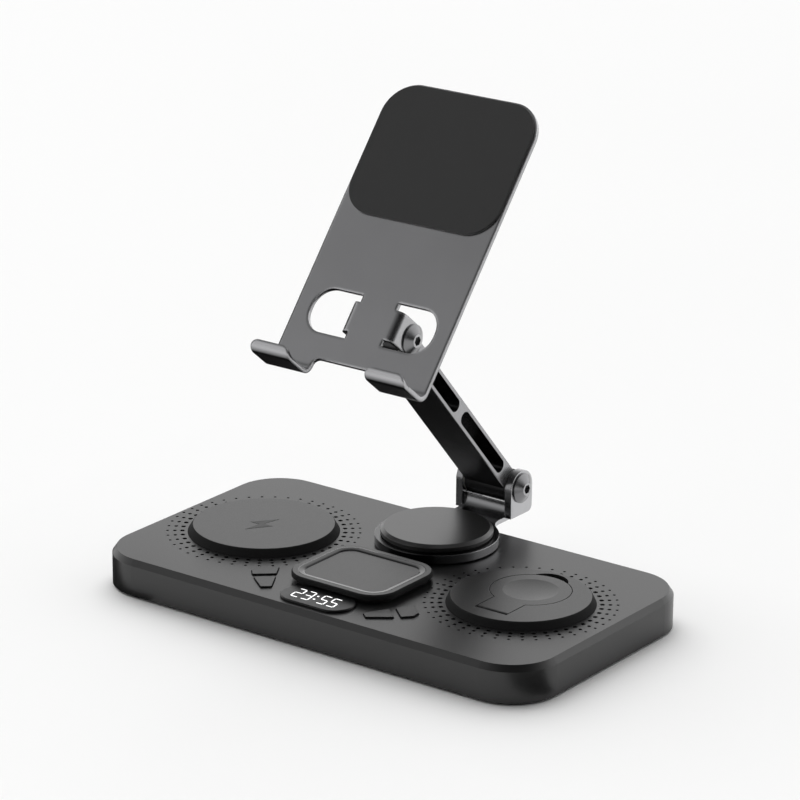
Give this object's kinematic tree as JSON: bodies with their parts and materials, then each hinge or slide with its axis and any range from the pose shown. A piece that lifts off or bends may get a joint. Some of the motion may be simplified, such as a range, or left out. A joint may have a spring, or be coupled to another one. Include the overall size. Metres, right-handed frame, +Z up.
{
  "type": "wireless charging station",
  "caption": "Low rounded charging base with round pads, an earbud pad, a clock and keys, and a folding arm on a turntable that holds a hooked phone plate.",
  "frame": {"origin": "on the table, under the middle of the base", "axes": "+X right along the base, -Y towards the user, +Z up"},
  "size_m": [0.2, 0.1293, 0.187],
  "materials": {
    "housing": "satin",
    "underside": "matt",
    "mat": "matt",
    "steel": "brushed",
    "pad": "satin",
    "inner_plastic": "matt",
    "coil": "wound copper wire",
    "ferrite": "matt",
    "magnet": "plated",
    "lens": "smoked gloss",
    "display": "gloss",
    "board": "solder mask",
    "chips": "matt",
    "usb": "plated",
    "bearing": "natural",
    "keys": "satin",
    "cap": "satin lacquer",
    "arm_metal": "anodised",
    "silicone": "matt"
  },
  "bodies": {
    "base": {"top_cover": "housing", "bottom_plate": "underside", "base_mat": "mat", "housing_screws": "steel", "ballast_plate": "steel", "main_board": "board", "board_chips": "chips", "tact_switches": "chips", "display_module": "display", "usb_port": "usb", "left_pad": "pad", "left_coil": "coil", "left_ferrite": "ferrite", "watch_pad": "pad", "flap_hinge_pin": "steel", "earbud_pad": "pad", "earbud_coil": "coil", "earbud_ferrite": "ferrite", "display_lens": "lens", "swivel_bushing": "bearing"},
    "turntable": {"swivel_bracket": "arm_metal", "swivel_cap": "cap", "swivel_axle": "steel", "swivel_washer": "steel", "swivel_nut": "steel", "lower_hinge_pin": "steel", "lower_hinge_heads": "arm_metal", "lower_hinge_shims": "bearing"},
    "arm": {"arm": "arm_metal"},
    "plate": {"phone_plate": "arm_metal", "grip_pad": "silicone", "upper_hinge_pin": "steel", "upper_hinge_heads": "arm_metal", "upper_hinge_shims": "bearing"},
    "flap": {"watch_flap": "pad", "flap_cover": "inner_plastic", "flap_coil": "coil", "flap_magnet": "magnet"},
    "button_left_rear_key": {"button_left_rear": "keys"},
    "button_left_front_key": {"button_left_front": "keys"},
    "button_right_rear_key": {"button_right_rear": "keys"},
    "button_right_front_key": {"button_right_front": "keys"}
  },
  "joints": [
    {"name": "swivel", "type": "hinge", "parent": "base", "child": "turntable", "pos_m": [0, 0.03, 0.015], "axis": [0, 0, 1], "range_deg": [-90, 90]},
    {"name": "arm_tilt", "type": "hinge", "parent": "turntable", "child": "arm", "pos_m": [0, 0.0673, 0.0293], "axis": [1, 0, 0], "range_deg": [-60, 30]},
    {"name": "plate_tilt", "type": "hinge", "parent": "arm", "child": "plate", "pos_m": [0, -0.00323, 0.10708], "axis": [1, 0, 0], "range_deg": [-98, 80]},
    {"name": "watch_flip", "type": "hinge", "parent": "base", "child": "flap", "pos_m": [0.06, -0.0175, 0.0164], "axis": [1, 0, 0], "range_deg": [0, 90]},
    {"name": "button_left_rear_press", "type": "slide", "parent": "base", "child": "button_left_rear_key", "axis": [0, 0, -1], "range_m": [0, 0.0004], "stiffness_N_per_m": 300, "springref_m": -0.0005},
    {"name": "button_left_front_press", "type": "slide", "parent": "base", "child": "button_left_front_key", "axis": [0, 0, -1], "range_m": [0, 0.0004], "stiffness_N_per_m": 300, "springref_m": -0.0005},
    {"name": "button_right_rear_press", "type": "slide", "parent": "base", "child": "button_right_rear_key", "axis": [0, 0, -1], "range_m": [0, 0.0004], "stiffness_N_per_m": 300, "springref_m": -0.0005},
    {"name": "button_right_front_press", "type": "slide", "parent": "base", "child": "button_right_front_key", "axis": [0, 0, -1], "range_m": [0, 0.0004], "stiffness_N_per_m": 300, "springref_m": -0.0005}
  ]
}
